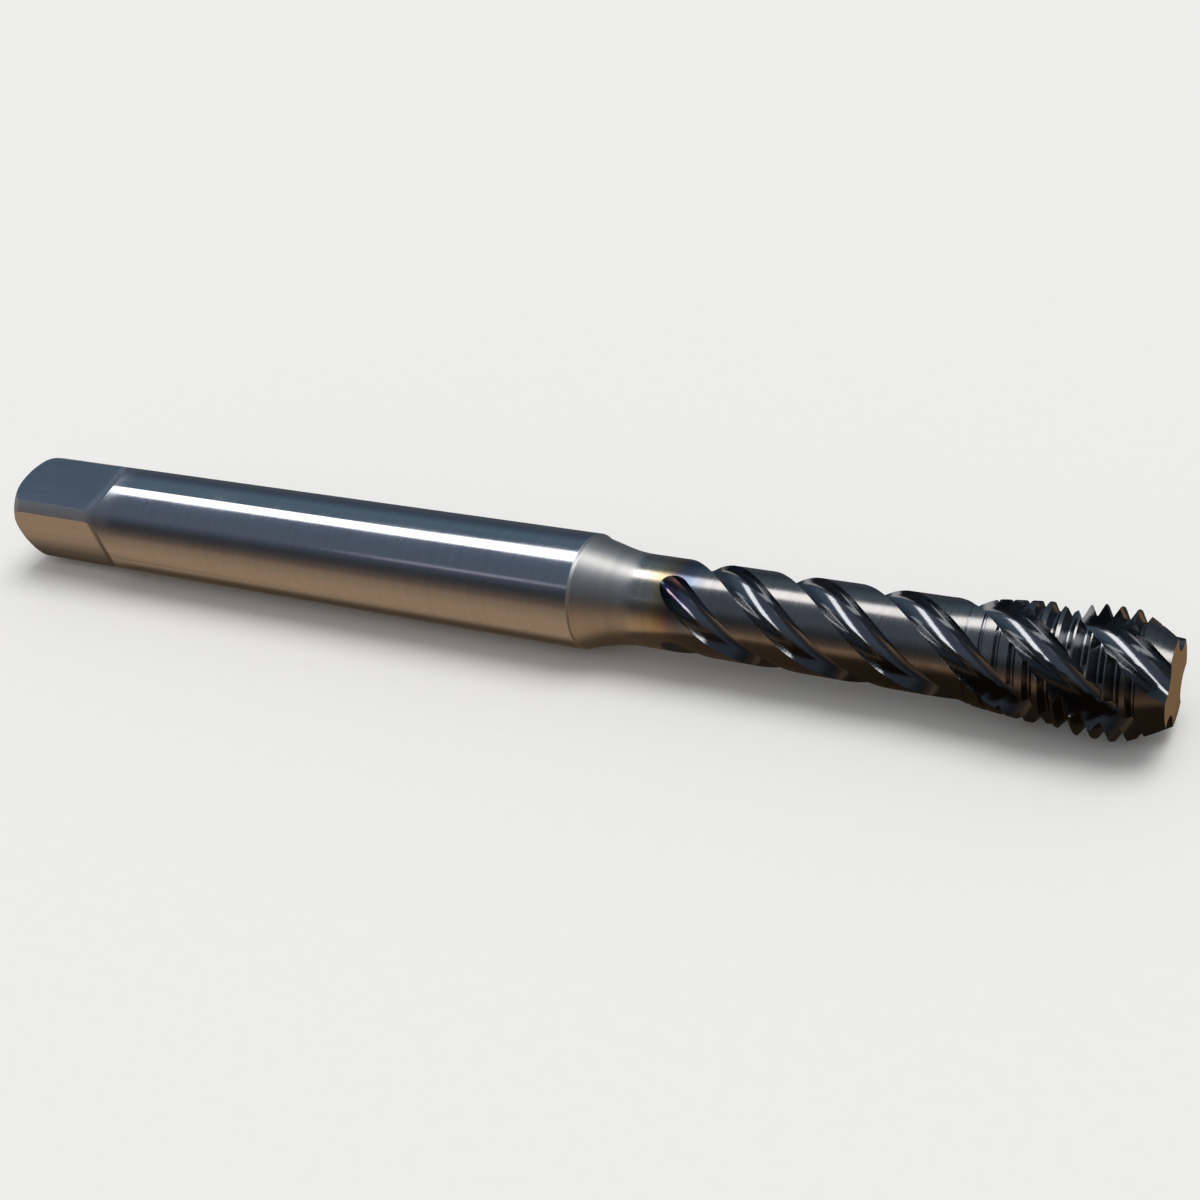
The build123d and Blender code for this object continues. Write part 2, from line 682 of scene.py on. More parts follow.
@dataclass(frozen=True)
class ThreadFinish(Finish):
    """The flanks of the thread under the same coat, with worn crests that are painted lighter,
    partly as a highlight.
    """

    bump_depth: float = 0.003
    roughness: float = 0.16
    coat: Color = (0.28, 0.28, 0.29, 1.0)
    lines_per_mm: float = 16.0
    line_length: float = 3.0
    crest_radius: Span = (3.82, 3.98)
    crest_wear_and_highlight: float = 0.5
    mark_level: float = 0.95
    line_marks: float = 0.3
    line_dull: float = 0.12

    def surface(self, place: TapPlace) -> tuple[Wire, Wire, Wire]:
        """Draws fine lines round the flanks, and wears the crests and paints them lighter as a
        highlight.

        Args:
            place: Where the point is.

        Returns:
            Color, roughness and the height of the bump.
        """
        bench = place.bench
        spot = place.vector(
            place.radius * self.lines_per_mm,
            place.across / self.line_length,
            place.up / self.line_length,
        )
        lines = bench.noise(spot)
        # The crests are worn to bare steel and painted lighter, partly as a highlight that they
        # catch.
        worn = place.radius.step(*self.crest_radius)
        color = bench.blend(self.coat, WORN_AND_HIGHLIT_STEEL, worn * self.crest_wear_and_highlight)
        color = bench.shade(color, self.mark_level + lines.swing(self.line_marks))
        roughness = self.roughness + lines.swing(self.line_dull)
        return color, roughness, lines


# Geometry, standing up and in millimetres


class Outline:
    """A line drawn in a bmesh, with straight runs and with arcs that are spun from its end."""

    def __init__(self, mesh: bmesh.types.BMesh, start: Sequence[float]) -> None:
        """Starts the line.

        Args:
            mesh: The bmesh that it is drawn in.
            start: Its first point.
        """
        self.mesh = mesh
        self.points = [mesh.verts.new(start)]

    def run(self, *points: Sequence[float]) -> "Outline":
        """Adds straight runs.

        Args:
            points: The points that the line goes to.

        Returns:
            The outline.
        """
        for point in points:
            self.points.append(self.mesh.verts.new(point))
            self.mesh.edges.new(self.points[-2:])
        return self

    def arc(
        self, centre: Sequence[float], axis: Sequence[float], angle: float, steps: int
    ) -> "Outline":
        """Adds an arc by spinning the last point.

        Args:
            centre: The middle of the arc.
            axis: The direction that it turns about.
            angle: How far it turns, in radians.
            steps: How many edges it has.

        Returns:
            The outline.
        """
        known = len(self.mesh.verts)
        bmesh.ops.spin(
            self.mesh, geom=[self.points[-1]], cent=centre, axis=axis, angle=angle, steps=steps
        )
        self.mesh.verts.ensure_lookup_table()
        self.points.extend(self.mesh.verts[known:])
        return self

    def close(self) -> "Outline":
        """Joins the end to the start."""
        self.mesh.edges.new((self.points[-1], self.points[0]))
        return self


def turn_about_axis(mesh: bmesh.types.BMesh, degrees: float) -> None:
    """Turns a whole mesh about the tap's axis.

    Args:
        mesh: The mesh.
        degrees: How far it turns.
    """
    bmesh.ops.rotate(mesh, verts=mesh.verts, matrix=Matrix.Rotation(radians(degrees), 3, "Z"))


def repeat_about_axis(mesh: bmesh.types.BMesh, count: int) -> None:
    """Copies a mesh evenly about the tap's axis.

    Args:
        mesh: The mesh, which becomes one of the copies.
        count: How many copies there are.
    """
    every = mesh.verts[:] + mesh.edges[:] + mesh.faces[:]
    bmesh.ops.spin(
        mesh,
        geom=every,
        cent=(0, 0, 0),
        axis=(0, 0, 1),
        angle=2 * pi * (count - 1) / count,
        steps=count - 1,
        use_duplicate=True,
    )


def close_solid(mesh: bmesh.types.BMesh, metal: Metal) -> bmesh.types.BMesh:
    """Closes the open ends of a mesh, turns its faces outwards and gives them their metal.

    Args:
        mesh: The mesh.
        metal: The finish of its faces.

    Returns:
        The same mesh.
    """
    bmesh.ops.holes_fill(mesh, edges=mesh.edges[:], sides=0)
    bmesh.ops.recalc_face_normals(mesh, faces=mesh.faces[:])
    for face in mesh.faces:
        face.material_index = metal.value
    return mesh


@dataclass
class TurnedBlank:
    """The turned blank: shank, shoulder, neck, widening thread land and tapered lead."""

    total_length: float = 90.5
    shank_radius: float = 4.0
    reach: float = 38.5
    end_chamfer: float = 1.05
    end_edge_radius: float = 1.6
    shoulder_angle: float = 13.5
    shoulder_blend_radius: float = 9.0
    shoulder_edge_break: float = 0.15
    neck_radius: float = 3.125
    thread_radius: float = 4.0
    thread_length: float = 13.7
    full_thread_length: float = 4.9
    lead_chamfer_length: float = 2.7
    lead_chamfer_angle: float = 23.0
    support: float = 0.12
    round_steps: int = 360
    end_edge_steps: int = 6
    blend_steps: int = 14
    merge_distance: float = 1e-4

    @property
    def outer_radius(self) -> float:
        """The larger of the radii of shank and thread."""
        return max(self.shank_radius, self.thread_radius)

    def from_tip(self, length: float) -> float:
        """Gives the height of the place that lies the length given back from the tip."""
        return self.total_length - length

    def solid(self) -> bmesh.types.BMesh:
        """Spins the blank's outline about its axis.

        Returns:
            The closed mesh.
        """
        mesh = bmesh.new()
        self.outline(mesh)
        bmesh.ops.spin(
            mesh,
            geom=mesh.verts[:] + mesh.edges[:],
            cent=(0, 0, 0),
            axis=(0, 0, 1),
            angle=2 * pi,
            steps=self.round_steps,
            use_merge=True,
        )
        bmesh.ops.remove_doubles(mesh, verts=mesh.verts[:], dist=self.merge_distance)
        return close_solid(mesh, Metal.TURNED)

    def outline(self, mesh: bmesh.types.BMesh) -> Outline:
        """Draws half of the blank's section, with short faces beside each soft edge.

        Args:
            mesh: The bmesh that it is drawn in.

        Returns:
            The outline.
        """
        across = (0, 1, 0)
        shoulder = self.from_tip(self.reach)
        slope = radians(self.shoulder_angle)
        shoulder_radius = self.shank_radius - self.shoulder_edge_break
        foot = shoulder + (shoulder_radius - self.neck_radius) / tan(slope)
        tangent = self.shoulder_blend_radius * tan(slope / 2)
        blend_radius = self.neck_radius + tangent * sin(slope)
        blend_height = foot - tangent * cos(slope)
        blend_centre = (self.neck_radius + self.shoulder_blend_radius, 0, foot + tangent)
        widening = self.from_tip(self.thread_length)
        full = self.from_tip(self.full_thread_length)
        lead = self.from_tip(self.lead_chamfer_length)
        tip = self.thread_radius - self.lead_chamfer_length * tan(radians(self.lead_chamfer_angle))
        growth = (self.thread_radius - self.neck_radius) / (full - widening) * self.support
        # The end chamfer stands at 45 degrees, and a round softens each of its two edges
        edge = self.end_edge_radius
        lean = pi / 4
        soft = edge * tan(lean / 2)
        face_radius = self.shank_radius - self.end_chamfer - soft
        side_height = self.end_chamfer + soft
        side_foot = (self.shank_radius - edge * (1 - cos(lean)), 0, side_height - edge * sin(lean))
        line = Outline(mesh, (0, 0, 0))
        line.run((face_radius, 0, 0))
        line.arc((face_radius, 0, edge), across, -lean, self.end_edge_steps)
        line.run(side_foot)
        line.arc((self.shank_radius - edge, 0, side_height), across, -lean, self.end_edge_steps)
        line.run(
            (self.shank_radius, 0, shoulder - self.shoulder_edge_break),
            (shoulder_radius, 0, shoulder),
            (
                blend_radius + self.support * sin(slope),
                0,
                blend_height - self.support * cos(slope),
            ),
            (blend_radius, 0, blend_height),
        )
        line.arc(blend_centre, across, slope, self.blend_steps)
        line.run(
            (self.neck_radius, 0, foot + tangent + self.support),
            (self.neck_radius, 0, widening - self.support),
            (self.neck_radius, 0, widening),
            (self.neck_radius + growth, 0, widening + self.support),
            (self.thread_radius - growth, 0, full - self.support),
            (self.thread_radius, 0, full),
            (self.thread_radius, 0, full + self.support),
            (self.thread_radius, 0, lead),
            (tip, 0, self.total_length),
            (0, 0, self.total_length),
        )
        return line


@dataclass
class DriveSquare:
    """The four flats of the drive square, each with the round run-out of its wheel.

    The edge where a run-out leaves the shank is a little softened.
    """

    flats: int = 4
    across_flats: float = 6.3
    length: float = 8.5
    run_out_radius: float = 2.6
    edge_radius: float = 0.4
    turn: float = -33.5
    clearance: float = 0.25
    half_width: float = 3.1
    skim: float = 0.02
    run_out_steps: int = 12
    edge_steps: int = 8

    def cutters(self, blank: TurnedBlank) -> bmesh.types.BMesh:
        """Makes the solids that are ground away.

        Args:
            blank: The blank that they are cut in.

        Returns:
            The closed meshes, in one bmesh.
        """
        mesh = bmesh.new()
        flat = self.across_flats / 2
        top = blank.shank_radius + self.run_out_radius
        side = -self.half_width
        exit_height = blank.shank_radius + self.skim
        both_radii = self.run_out_radius + self.edge_radius
        swing = acos(1 - (exit_height - flat) / both_radii)
        end = self.length + both_radii * sin(swing)
        line = Outline(mesh, (flat, side, -self.clearance))
        line.run((flat, side, self.length))
        run_out_centre = (flat + self.run_out_radius, side, self.length)
        line.arc(run_out_centre, (0, 1, 0), swing, self.run_out_steps)
        edge_centre = (exit_height - self.edge_radius, side, end)
        line.arc(edge_centre, (0, 1, 0), -swing, self.edge_steps)
        line.run((top, side, end), (top, side, -self.clearance))
        line.close()
        section = bmesh.ops.contextual_create(mesh, geom=mesh.edges[:])["faces"]
        pulled = bmesh.ops.extrude_face_region(mesh, geom=section)["geom"]
        moved = [item for item in pulled if isinstance(item, bmesh.types.BMVert)]
        bmesh.ops.translate(mesh, verts=moved, vec=(0, 2 * self.half_width, 0))
        turn_about_axis(mesh, self.turn + 180 / self.flats)
        repeat_about_axis(mesh, self.flats)
        return close_solid(mesh, Metal.SQUARE)


@dataclass
class ThreadGroove:
    """The right-hand thread groove: a V with a narrow flat at its root."""

    pitch: float = 1.0
    angle: float = 60.0
    crest_flat: float = 0.06
    root_flat: float = 0.1
    turn: float = 9.5
    steps_per_turn: int = 120

    def cutter(self, blank: TurnedBlank) -> bmesh.types.BMesh:
        """Spins the groove's section along its helix.

        Args:
            blank: The blank that it is cut in.

        Returns:
            The closed mesh.
        """
        mesh = bmesh.new()
        slope = tan(radians(self.angle / 2))
        root = blank.thread_radius - (self.pitch - self.crest_flat - self.root_flat) / 2 / slope
        mouth_half = (self.pitch - self.crest_flat / 2) / 2
        root_half = self.root_flat / 2
        rise = (mouth_half - root_half) / slope
        line = Outline(mesh, (0, -root_half, 0))
        line.run((rise, -mouth_half, 0), (rise, mouth_half, 0), (0, root_half, 0)).close()
        bmesh.ops.transform(mesh, matrix=square_to_helix(root, self.pitch), verts=mesh.verts)
        turns = ceil(blank.thread_length / self.pitch) + 1
        screw(mesh, mesh.verts[:] + mesh.edges[:], self.pitch, turns, self.steps_per_turn)
        start = blank.from_tip(blank.thread_length)
        bmesh.ops.translate(mesh, verts=mesh.verts, vec=(0, 0, start))
        turn_about_axis(mesh, self.turn)
        return close_solid(mesh, Metal.THREAD)


@dataclass
class SpiralFlutes:
    """The right-hand flutes: steep cutting face, round gullet, heel that leans back."""

    count: int = 4
    lead: float = 24.0
    length: float = 30.6
    web_radius: float = 1.9
    gullet_radius: float = 0.88
    heel_angle: float = 30.0
    wheel_radius: float = 2.75
    first_turn: float = -46.5
    clearance: float = 0.25
    steps_per_turn: int = 120
    gullet_steps: int = 20
    wheel_steps: int = 24

    def cutters(self, blank: TurnedBlank) -> bmesh.types.BMesh:
        """Swings the flute's section in on its wheel's round and spins it along its helix.

        Args:
            blank: The blank that the flutes are cut in.

        Returns:
            The closed meshes, in one bmesh.
        """
        mesh = bmesh.new()
        outer = blank.outer_radius
        floor = self.web_radius - blank.neck_radius
        middle = floor + self.gullet_radius
        mouth = outer + self.clearance - blank.neck_radius
        heel = radians(self.heel_angle)
        heel_side = self.gullet_radius * cos(heel)
        heel_foot = middle - self.gullet_radius * sin(heel)
        line = Outline(mesh, (mouth, -self.gullet_radius, 0))
        line.run((middle, -self.gullet_radius, 0))
        line.arc((middle, 0, 0), (0, 0, 1), -(pi - heel), self.gullet_steps)
        line.run((mouth, heel_side + (mouth - heel_foot) * tan(heel), 0)).close()
        wheel = Vector((floor + self.wheel_radius, 0, 0))
        swing = Matrix.Rotation(-pi / 2, 3, "Y")
        bmesh.ops.rotate(mesh, cent=wheel, matrix=swing, verts=mesh.verts)
        settled = bmesh.ops.spin(
            mesh,
            geom=mesh.verts[:] + mesh.edges[:],
            cent=wheel,
            axis=(0, 1, 0),
            angle=pi / 2,
            steps=self.wheel_steps,
        )["geom_last"]
        place = square_to_helix(blank.neck_radius, self.lead)
        bmesh.ops.transform(mesh, matrix=place, verts=mesh.verts)
        screw(mesh, settled, self.lead, (self.length + outer) / self.lead, self.steps_per_turn)
        start = blank.from_tip(self.length)
        bmesh.ops.translate(mesh, verts=mesh.verts, vec=(0, 0, start))
        turn_about_axis(mesh, self.first_turn)
        repeat_about_axis(mesh, self.count)
        return close_solid(mesh, Metal.FLUTE)


def square_to_helix(radius: float, lead: float) -> Matrix:
    """Gives the place of a section that stands square to a right-hand helix.

    Args:
        radius: The helix's radius. The section's x points outwards from it.
        lead: How far the helix advances in a turn.

    Returns:
        The matrix from the section's coordinates to the tap's.
    """
    around = 2 * pi * radius
    slant = hypot(around, lead)
    forward = Vector((0, around / slant, lead / slant))
    outward = Vector((1, 0, 0))
    matrix = Matrix((outward, forward.cross(outward), forward)).transposed().to_4x4()
    return Matrix.Translation((radius, 0, 0)) @ matrix


def screw(
    mesh: bmesh.types.BMesh, section: list[Any], lead: float, turns: float, per_turn: int
) -> None:
    """Spins a section about the tap's axis while it advances.

    Args:
        mesh: The mesh that the section is in.
        section: The section's vertices and edges.
        lead: How far it advances in a turn.
        turns: How many turns it makes.
        per_turn: How many steps there are to a turn.
    """
    steps = ceil(turns * per_turn)
    bmesh.ops.spin(
        mesh,
        geom=section,
        cent=(0, 0, 0),
        axis=(0, 0, 1),
        dvec=(0, 0, lead / per_turn),
        angle=2 * pi * steps / per_turn,
        steps=steps,
    )


def add_object(name: str, data: bpy.types.ID) -> bpy.types.Object:
    """Puts an object in the scene.

    Args:
        name: Its name.
        data: Its mesh, light or camera.

    Returns:
        The object.
    """
    item = bpy.data.objects.new(name, data)
    bpy.context.scene.collection.objects.link(item)
    return item


def mesh_object(
    name: str, shape: bmesh.types.BMesh, materials: Sequence[bpy.types.Material]
) -> bpy.types.Object:
    """Puts a shape in the scene.

    Args:
        name: The name of its object and its mesh.
        shape: The shape, which is used up.
        materials: The materials that its faces name by their place in this list.

    Returns:
        The object.
    """
    mesh = bpy.data.meshes.new(name)
    shape.to_mesh(mesh)
    shape.free()
    for material in materials:
        mesh.materials.append(material)
    return add_object(name, mesh)


@dataclass
class SpiralFluteTap:
    """The whole tap, ground from its blank and laid down on its side."""

    blank: TurnedBlank
    square: DriveSquare
    groove: ThreadGroove
    flutes: SpiralFlutes
    sharp_angle: float = 20.0
    merge_distance: float = 1e-5

    def piece(self, finishes: Sequence[Finish]) -> bpy.types.Object:
        """Cuts, lays down and dresses the tap.

        Args:
            finishes: The finishes of its surfaces.

        Returns:
            The finished object.
        """
        ordered = sorted(finishes, key=lambda finish: finish.metal.value)
        materials = [finish.material(self.blank, self.flutes) for finish in ordered]
        body = mesh_object("tap_blank", self.blank.solid(), materials)
        cutters = [
            mesh_object("square_cutters", self.square.cutters(self.blank), materials),
            mesh_object("groove_cutter", self.groove.cutter(self.blank), materials),
            mesh_object("flute_cutters", self.flutes.cutters(self.blank), materials),
        ]
        for cutter in cutters:
            cut = body.modifiers.new(cutter.name, "BOOLEAN")
            cut.operation = "DIFFERENCE"
            cut.solver = "MANIFOLD"
            cut.object = cutter
        ground = bpy.data.meshes.new_from_object(
            body.evaluated_get(bpy.context.evaluated_depsgraph_get())
        )
        for scrap in (body, *cutters):
            bpy.data.objects.remove(scrap)
        self.lay_down(ground)
        ground.name = "spiral_flute_tap"
        return add_object("spiral_flute_tap", ground)

    def lay_down(self, mesh: bpy.types.Mesh) -> None:
        """Cleans the cut mesh, lays it down in metres and shades it.

        Args:
            mesh: The cut mesh, standing up and in millimetres.
        """
        work = bmesh.new()
        work.from_mesh(mesh)
        bmesh.ops.remove_doubles(work, verts=work.verts[:], dist=self.merge_distance)
        bmesh.ops.dissolve_degenerate(work, edges=work.edges[:], dist=self.merge_distance)
        open_edges = sum(not edge.is_manifold for edge in work.edges)
        volume = work.calc_volume(signed=True)
        lying = Matrix(
            (
                (0, 0, 1, -self.blank.total_length / 2),
                (-1, 0, 0, 0),
                (0, -1, 0, self.blank.outer_radius),
                (0, 0, 0, 1),
            )
        )
        to_metres = Matrix.Scale(1 / MM_PER_M, 4)
        bmesh.ops.transform(work, matrix=to_metres @ lying, verts=work.verts)
        work.to_mesh(mesh)
        LOG.info("tap: %.1f mm3, %d faces, %d open edges", volume, len(work.faces), open_edges)
        work.free()
        mesh.polygons.foreach_set("use_smooth", [True] * len(mesh.polygons))
        mesh.set_sharp_from_angle(angle=radians(self.sharp_angle))


# Stage, in metres


@dataclass(frozen=True)
class MirroredCard:
    """A glowing card that only reflections see."""

    name: str

    def hang(self) -> None:
        """Puts the card in the scene."""
        material, bench = new_material(self.name)
        glow = {"Color": self.paint(bench, bench.spot()), "Strength": 1.0}
        shader = bench.wire("ShaderNodeEmission", None, glow)
        bench.node("ShaderNodeOutputMaterial", None, {"Surface": shader})
        card = mesh_object(self.name, self.shape(), (material,))
        card.visible_camera = False
        card.visible_diffuse = False
        card.visible_shadow = False
        card.visible_transmission = False

    def shape(self) -> bmesh.types.BMesh:
        """Makes the card's shape."""
        raise NotImplementedError

    def paint(self, bench: Bench, spot: Spot) -> Wire:
        """Gives the card's color at a spot, where y is less than 0 in front of the tap."""
        raise NotImplementedError


@dataclass(frozen=True)
class Tunnel:
    """The half tube round the tap that the table and the arch over it make up."""

    radius: float = 0.6
    half_length: float = 2.5
    back_color: Color = (0.08, 0.09, 0.112, 1.0)


@dataclass(frozen=True)
class TableCard(MirroredCard):
    """The table that the metal's underside mirrors, with warm bands along the tap and a painted
    shadow of the tap under it.

    A band's place is near / (near + band_scale), where near is how far it lies from the tap.
    """

    tunnel: Tunnel = Tunnel()
    lift: float = 2e-5
    # The first bands, nearest the tap, are a painted shadow of it.
    bands: Stops = (
        (0.24, (0.08, 0.055, 0.035, 1.0)),
        (0.27, (0.14, 0.10, 0.065, 1.0)),
        (0.315, (0.38, 0.255, 0.158, 1.0)),
        (0.34, (0.435, 0.287, 0.178, 1.0)),
        (0.474, (0.435, 0.287, 0.178, 1.0)),
        (0.583, (0.365, 0.255, 0.16, 1.0)),
        (0.73, (0.30, 0.21, 0.14, 1.0)),
        (0.95, (0.16, 0.11, 0.085, 1.0)),
    )
    band_scale: float = 0.01
    # Painted shadow: past the shoulder, the dark bands under the tap are drawn wider.
    shadow_widening_span: Span = (0.004, 0.014)
    widening: float = 0.72
    back_span: Span = (0.004, 0.009)
    tip_span: Span = (0.012, 0.03)
    tip_shade: float = 0.62
    end_glow_color: Color = (0.29, 0.18, 0.092, 1.0)
    end_start: Span = (0.0453, 0.0458)
    end_stop: Span = (0.052, 0.049)
    end_front: Span = (-0.001, 0.001)

    def shape(self) -> bmesh.types.BMesh:
        """Lays the card just over the floor.

        Returns:
            Its shape.
        """
        shape = bmesh.new()
        bmesh.ops.create_grid(shape, x_segments=2, y_segments=2, size=1.0)
        size = (self.tunnel.half_length, self.tunnel.radius, 1.0)
        bmesh.ops.scale(shape, vec=size, verts=shape.verts)
        bmesh.ops.translate(shape, vec=(0, 0, self.lift), verts=shape.verts)
        return shape

    def paint(self, bench: Bench, spot: Spot) -> Wire:
        """Colors it with a painted shadow under the tap and painted shade towards its tip, warm in
        front, and with a brighter painted glow past its end.

        Args:
            bench: The card's node tree.
            spot: The point on the card.

        Returns:
            The color.
        """
        # The tap's shadow is painted in the bands nearest it, wider under its neck and cutting
        # end.
        near = abs(spot.y) * (1.0 - spot.x.step(*self.shadow_widening_span) * self.widening)
        color = bench.ramp(self.bands, near / (near + self.band_scale))
        color = bench.blend(color, self.tunnel.back_color, spot.y.step(*self.back_span))
        # Painted shade: the card is darker towards the tap's tip.
        color = bench.shade(color, 1.0 - spot.x.step(*self.tip_span) * self.tip_shade)
        # A painted pool of warm light behind the tip's end, which its end face mirrors.
        past_end = spot.x.step(*self.end_start) * spot.x.step(*self.end_stop)
        return bench.blend(color, self.end_glow_color, past_end * spot.y.step(*self.end_front))


@dataclass(frozen=True)
class TunnelCard(MirroredCard):
    """The dark arch over the tap that the metal's sides mirror."""

    tunnel: Tunnel = Tunnel()
    steps: int = 60
    bands: Stops = (
        (0.0, (0.16, 0.11, 0.085, 1.0)),
        (0.06, (0.074, 0.067, 0.063, 1.0)),
        (0.11, (0.045, 0.05, 0.058, 1.0)),
        (0.17, (0.072, 0.085, 0.11, 1.0)),
        (0.23, (0.12, 0.145, 0.19, 1.0)),
        (0.4, (0.118, 0.15, 0.205, 1.0)),
        (0.49, (0.14, 0.18, 0.25, 1.0)),
        (0.667, (0.105, 0.15, 0.21, 1.0)),
        (0.767, (0.12, 0.184, 0.24, 1.0)),
        (0.9, (0.06, 0.083, 0.12, 1.0)),
    )
    tip_span: Span = (0.03, 0.35)
    tip_shade: float = 0.5

    def shape(self) -> bmesh.types.BMesh:
        """Spins the arch from its front foot over the tap to its back foot.

        Returns:
            Its shape.
        """
        shape = bmesh.new()
        foot = Outline(shape, (-self.tunnel.half_length, -self.tunnel.radius, 0))
        foot.run((self.tunnel.half_length, -self.tunnel.radius, 0))
        bmesh.ops.spin(
            shape,
            geom=shape.verts[:] + shape.edges[:],
            cent=(0, 0, 0),
            axis=(1, 0, 0),
            angle=-pi,
            steps=self.steps,
        )
        return shape

    def paint(self, bench: Bench, spot: Spot) -> Wire:
        """Colors it from its front foot, at 0, to its back foot, at 1.

        Args:
            bench: The card's node tree.
            spot: The point on the card.

        Returns:
            The color.
        """
        share = spot.z.math("ARCTAN2", spot.z, -spot.y) / pi
        color = bench.ramp((*self.bands, (1.0, self.tunnel.back_color)), share)
        return bench.shade(color, 1.0 - spot.x.step(*self.tip_span) * self.tip_shade)


@dataclass(frozen=True)
class LineCard(MirroredCard):
    """The small pale card that draws a faint line along the shank."""

    pale: Color = (0.42, 0.43, 0.50, 1.0)
    dark: Color = (0.12, 0.145, 0.19, 1.0)
    elevation: float = 38.8
    distance: float = 0.55
    width: float = 0.042
    ends: Span = (-0.44, -0.26)
    fades: Span = (0.05, 0.03)

    def shape(self) -> bmesh.types.BMesh:
        """Hangs the card in front of the tap, facing it.

        Returns:
            Its shape.
        """
        shape = bmesh.new()
        start, end = self.ends
        slope = radians(self.elevation)
        away = (
            (start + end) / 2,
            -self.distance * cos(slope),
            self.distance * sin(slope),
        )
        lean = Matrix.Rotation(radians(90 - self.elevation), 3, "X")
        bmesh.ops.create_grid(shape, x_segments=1, y_segments=1, size=0.5)
        bmesh.ops.scale(shape, vec=(end - start, self.width, 1.0), verts=shape.verts)
        bmesh.ops.rotate(shape, matrix=lean, verts=shape.verts)
        bmesh.ops.translate(shape, vec=away, verts=shape.verts)
        return shape

    def paint(self, bench: Bench, spot: Spot) -> Wire:
        """Colors it pale, faded towards its ends.

        Args:
            bench: The card's node tree.
            spot: The point on the card.

        Returns:
            The color.
        """
        start, end = self.ends
        fade_in, fade_out = self.fades
        fade = spot.x.step(start, start + fade_in) * spot.x.step(end, end - fade_out)
        return bench.blend(self.dark, self.pale, fade)


@dataclass(frozen=True)
class PhotoCamera:
    """The camera, where the photograph was taken from."""

    eye: tuple[float, float, float] = (0.06257, -0.08264, 0.07033)
    azimuth: float = 33.968
    elevation: float = 33.91
    roll: float = -11.514
    lens: float = 52.655
    sensor_width: float = 36.0
    clip: Span = (0.001, 50.0)

    def place(self) -> None:
        """Puts the camera in the scene."""
        data = bpy.data.cameras.new("camera")
        data.sensor_fit = "HORIZONTAL"
        data.sensor_width = self.sensor_width
        data.lens = self.lens
        data.clip_start, data.clip_end = self.clip
        item = add_object("camera", data)
        item.matrix_world = (
            Matrix.Translation(self.eye)
            @ Matrix.Rotation(radians(self.azimuth), 4, "Z")
            @ Matrix.Rotation(radians(90 - self.elevation), 4, "X")
            @ Matrix.Rotation(radians(self.roll), 4, "Z")
        )
        bpy.context.scene.camera = item


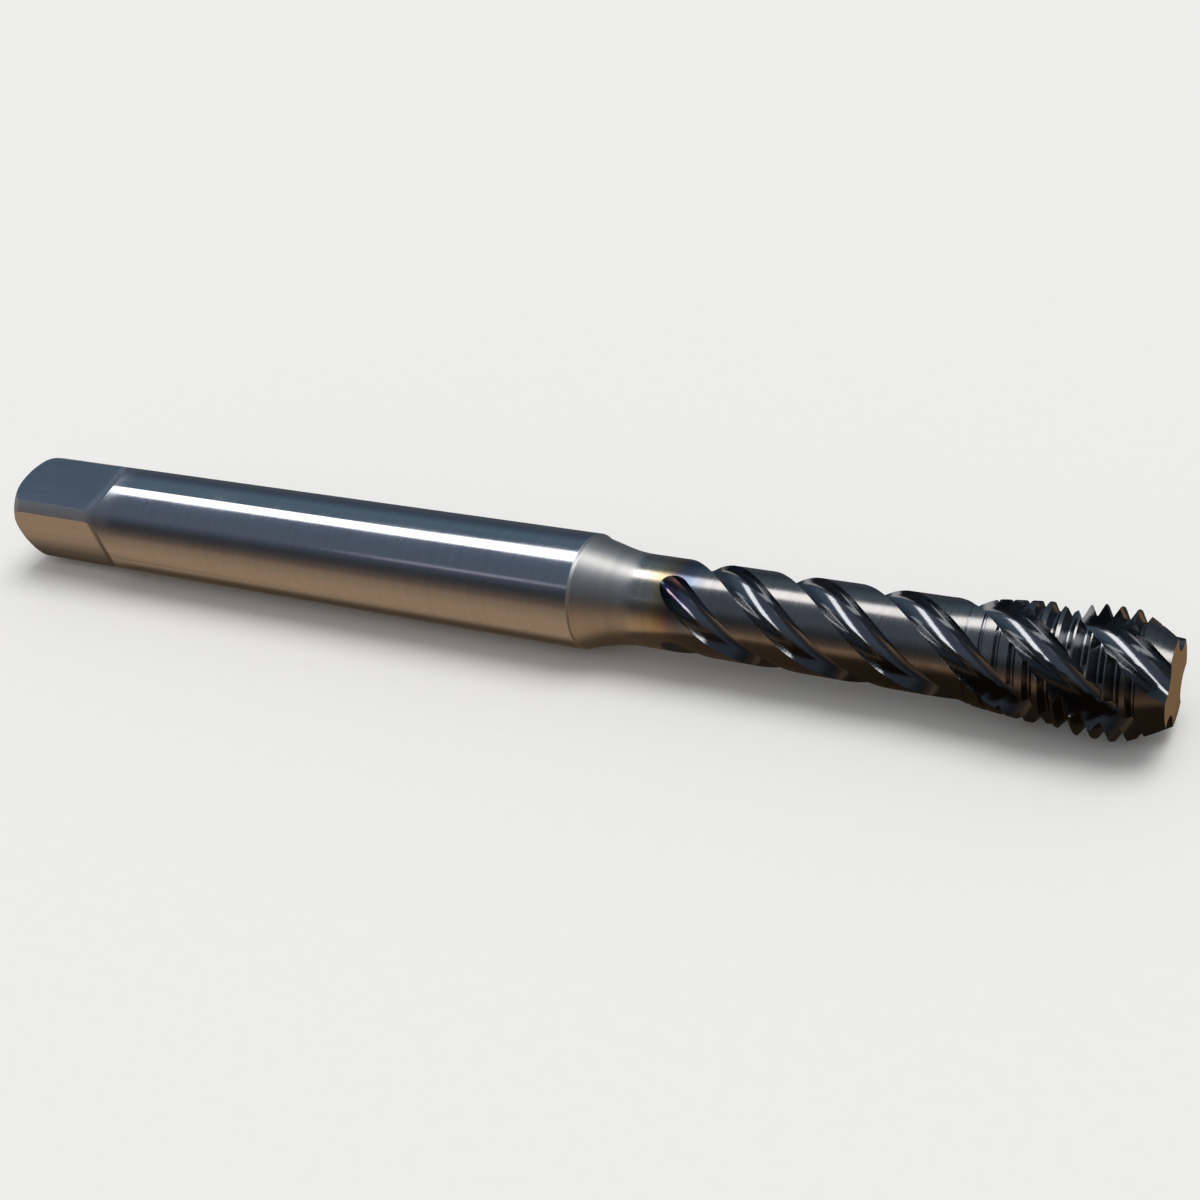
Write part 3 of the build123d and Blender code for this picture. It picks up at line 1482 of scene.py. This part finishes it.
@dataclass(frozen=True)
class Studio:
    """The pale floor, its light, and a long strip light and cards that the metal mirrors.

    The room and one wide soft light are all that the floor is lit by.
    """

    floor_color: Color = (0.86, 0.855, 0.845, 1.0)
    floor_half_size: float = 12.0
    floor_roughness: float = 0.9
    grain_per_m: float = 900.0
    grain: float = 0.02
    room_strength: float = 0.5
    soft_strength: float = 1.62
    soft_spread: float = 38.0
    soft_from: Span = (-14.0, 10.0)
    strip_radiance: float = 2.6
    strip_height: float = 0.5
    strip_width: float = 0.215
    strip_length: float = 1.9
    strip_middle: float = 0.117
    cards: tuple[MirroredCard, ...] = (
        TableCard("table_card"),
        TunnelCard("tunnel_card"),
        LineCard("line_card"),
    )
    camera: PhotoCamera = PhotoCamera()

    def build(self) -> None:
        """Builds the floor, the lights, the cards and the camera."""
        self.floor()
        self.room()
        self.soft_light()
        self.strip_light()
        for card in self.cards:
            card.hang()
        self.camera.place()

    def floor(self) -> None:
        """Lays the pale floor, which has a matt paper's fine grain."""
        material, bench = new_material("floor_paper")
        point = bench.wire("ShaderNodeTexCoord", output="Object")
        grain = bench.noise(point, scale=self.grain_per_m)
        level = 1.0 - self.grain / 2 + grain * self.grain
        paper = {
            "Base Color": bench.shade(bench.plain(self.floor_color), level),
            "Roughness": self.floor_roughness,
            "Specular IOR Level": 0.0,
        }
        shader = bench.wire("ShaderNodeBsdfPrincipled", None, paper)
        bench.node("ShaderNodeOutputMaterial", None, {"Surface": shader})
        shape = bmesh.new()
        bmesh.ops.create_grid(shape, x_segments=2, y_segments=2, size=self.floor_half_size)
        mesh_object("floor", shape, (material,))

    def room(self) -> None:
        """Lights the scene plainly, with a pale background that metal shows too."""
        world = bpy.data.worlds.new("studio_room")
        bpy.context.scene.world = world
        world.use_nodes = True
        bench = Bench(world.node_tree)
        path = bench.node("ShaderNodeLightPath")
        seen = Wire(bench, path.outputs["Is Camera Ray"])
        for other in ("Is Glossy Ray", "Is Transmission Ray"):
            seen = seen.larger(Wire(bench, path.outputs[other]))
        light = {"Color": (1.0, 1.0, 1.0, 1.0), "Strength": self.room_strength}
        lit = bench.wire("ShaderNodeBackground", None, light)
        pale = {"Color": self.floor_color, "Strength": 1.0}
        back = bench.wire("ShaderNodeBackground", None, pale)
        both = bench.wire("ShaderNodeMixShader", None, {0: seen, 1: lit, 2: back})
        bench.node("ShaderNodeOutputWorld", None, {"Surface": both})

    def soft_light(self) -> None:
        """Hangs the wide soft light, which metal doesn't mirror."""
        light = bpy.data.lights.new("soft_light", "SUN")
        light.energy = self.soft_strength
        light.angle = radians(self.soft_spread)
        item = add_object("soft_light", light)
        item.rotation_euler = (radians(self.soft_from[0]), radians(self.soft_from[1]), 0)
        item.visible_glossy = False

    def strip_light(self) -> None:
        """Hangs the long light that the metal mirrors."""
        light = bpy.data.lights.new("strip_light", "AREA")
        light.shape = "RECTANGLE"
        light.size = self.strip_length
        light.size_y = self.strip_width
        light.energy = self.strip_radiance * pi * self.strip_length * self.strip_width
        item = add_object("strip_light", light)
        item.location = (0, self.strip_middle, self.strip_height)
        item.visible_diffuse = False


def main() -> None:
    logging.basicConfig(level=logging.INFO, format="%(name)s: %(message)s", force=True)
    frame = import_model()
    LOG.info("packed nodes: %s", ", ".join(sorted(frame["nodes"])))
    finishes = (
        TurnedFinish("turned_steel", Metal.TURNED),
        SquareFinish("ground_flats", Metal.SQUARE),
        ThreadFinish("coated_thread", Metal.THREAD),
        FluteFinish("coated_flutes", Metal.FLUTE),
    )
    tap = SpiralFluteTap(TurnedBlank(), DriveSquare(), ThreadGroove(), SpiralFlutes())
    piece = tap.piece(finishes)
    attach(piece, "root")
    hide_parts("tap")
    LOG.info("tap: dressed in %d finishes", len(finishes))
    Studio().build()
    LOG.info("studio: floor, room, strip light, cards and camera")
    bpy.context.scene.view_settings.view_transform = "Standard"


if __name__ == "__main__":
    main()
